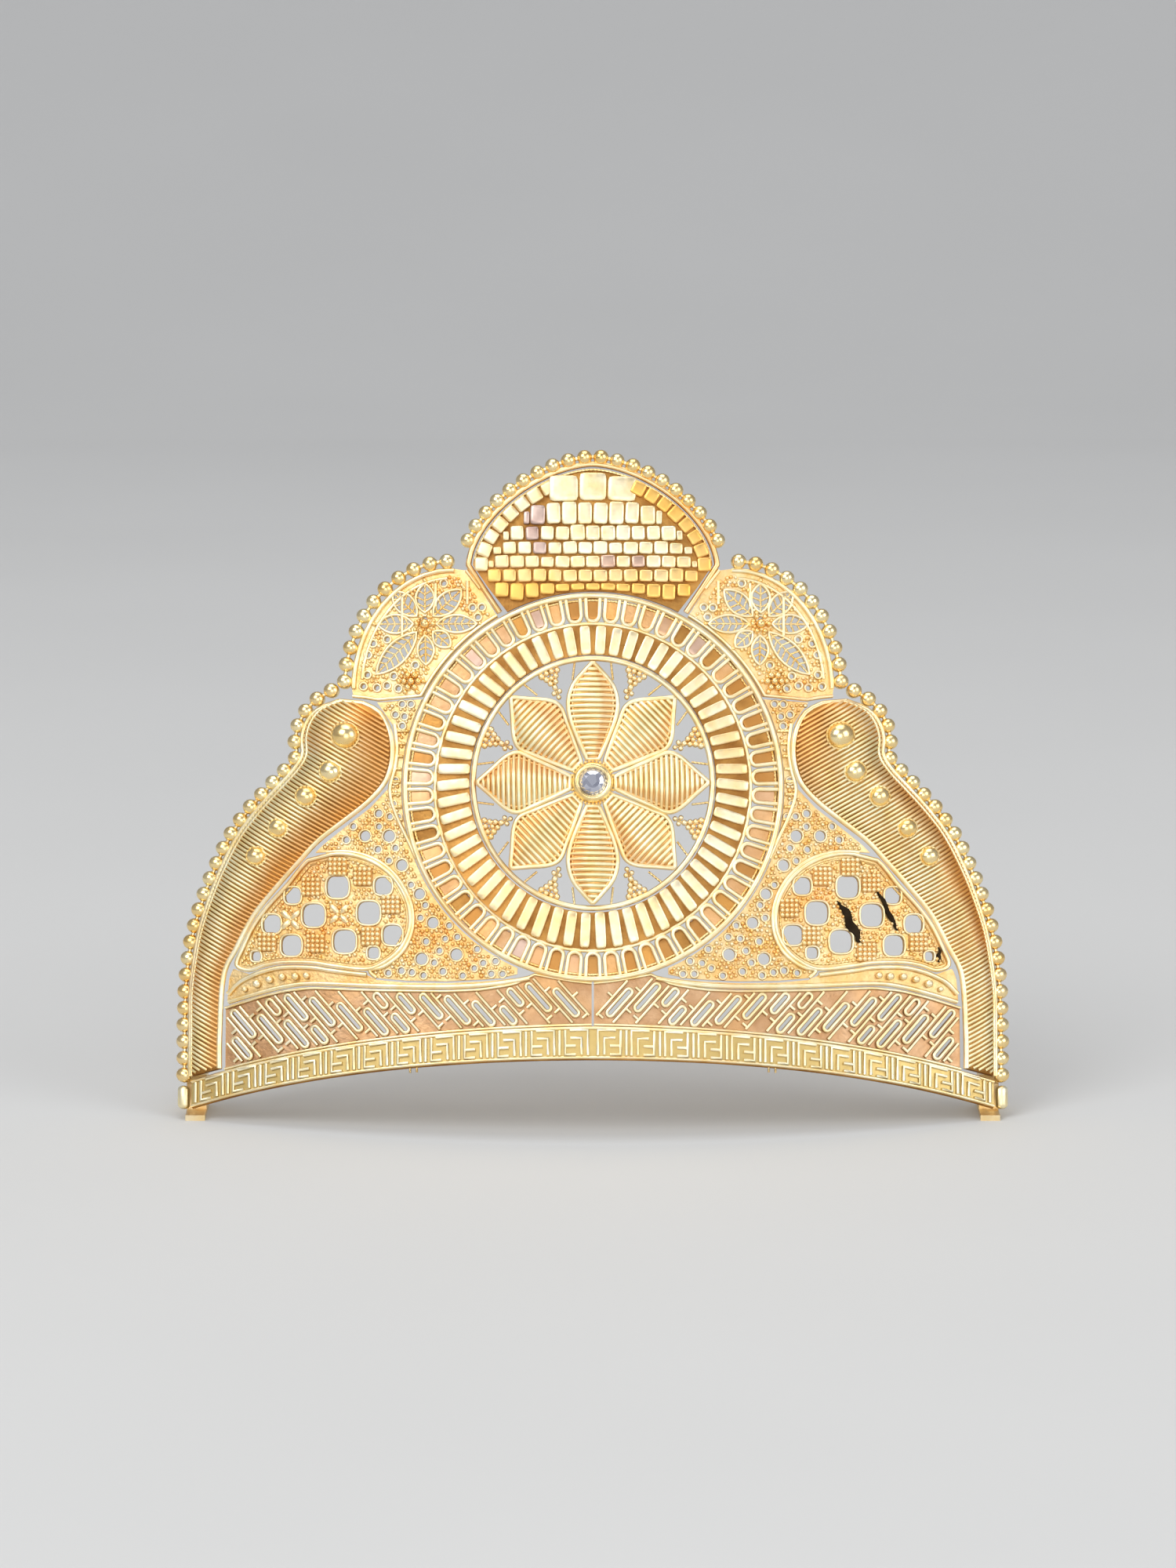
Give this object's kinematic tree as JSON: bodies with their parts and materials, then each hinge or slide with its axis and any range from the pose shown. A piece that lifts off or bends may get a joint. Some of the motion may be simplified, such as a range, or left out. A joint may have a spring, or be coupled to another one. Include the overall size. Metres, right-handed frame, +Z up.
{
  "type": "bridal crown",
  "caption": "Openwork bridal crown of gold filigree: a domed crest and a flower medallion between curved arms, edged with a row of round beads, on an arched band with a raised key pattern.",
  "frame": {"origin": "on the floor under the middle of the crown's box, between its two feet", "axes": "+Z up, the front faces -Y, +X to the right as seen from the front"},
  "size_m": [0.1498, 0.037, 0.1184],
  "materials": {
    "polished_gold": "polished gold of beads, half balls and bezel",
    "filigree_gold": "satin gold wire work",
    "pale_gold": "pale bright gold slats and bars",
    "ribbed_gold": "fine parallel gold wires",
    "key_gold": "cast gold relief, polished on its edges",
    "grey_stone": "polished clear grey stone"
  },
  "bodies": {
    "root": {"arm_beads_left": "polished_gold", "arm_beads_right": "polished_gold", "arm_dome_left_1": "polished_gold", "arm_dome_left_2": "polished_gold", "arm_dome_left_3": "polished_gold", "arm_dome_left_4": "polished_gold", "arm_dome_left_5": "polished_gold", "arm_dome_right_1": "polished_gold", "arm_dome_right_2": "polished_gold", "arm_dome_right_3": "polished_gold", "arm_dome_right_4": "polished_gold", "arm_dome_right_5": "polished_gold", "arm_left": "ribbed_gold", "arm_right": "ribbed_gold", "centre_stone": "grey_stone", "crest_beads": "polished_gold", "crest_field": "pale_gold", "crest_frame": "filigree_gold", "end_foot_left": "polished_gold", "end_foot_right": "polished_gold", "end_roll_left": "key_gold", "end_roll_right": "key_gold", "flower_bezel": "polished_gold", "key_band": "key_gold", "lattice_left": "filigree_gold", "lattice_right": "filigree_gold", "medallion_inner_ring": "filigree_gold", "medallion_inner_tier": "pale_gold", "medallion_outer_ring": "filigree_gold", "medallion_outer_tier": "filigree_gold", "petal_1": "filigree_gold", "petal_2": "filigree_gold", "petal_3": "filigree_gold", "petal_4": "filigree_gold", "petal_5": "filigree_gold", "petal_6": "filigree_gold", "petal_7": "filigree_gold", "petal_8": "filigree_gold", "rail_left": "filigree_gold", "rail_right": "filigree_gold", "shoulder_beads_left": "polished_gold", "shoulder_beads_right": "polished_gold", "shoulder_panel_left": "filigree_gold", "shoulder_panel_right": "filigree_gold", "side_panel_left": "filigree_gold", "side_panel_right": "filigree_gold", "spandrel_left": "filigree_gold", "spandrel_right": "filigree_gold"}
  },
  "joints": []
}
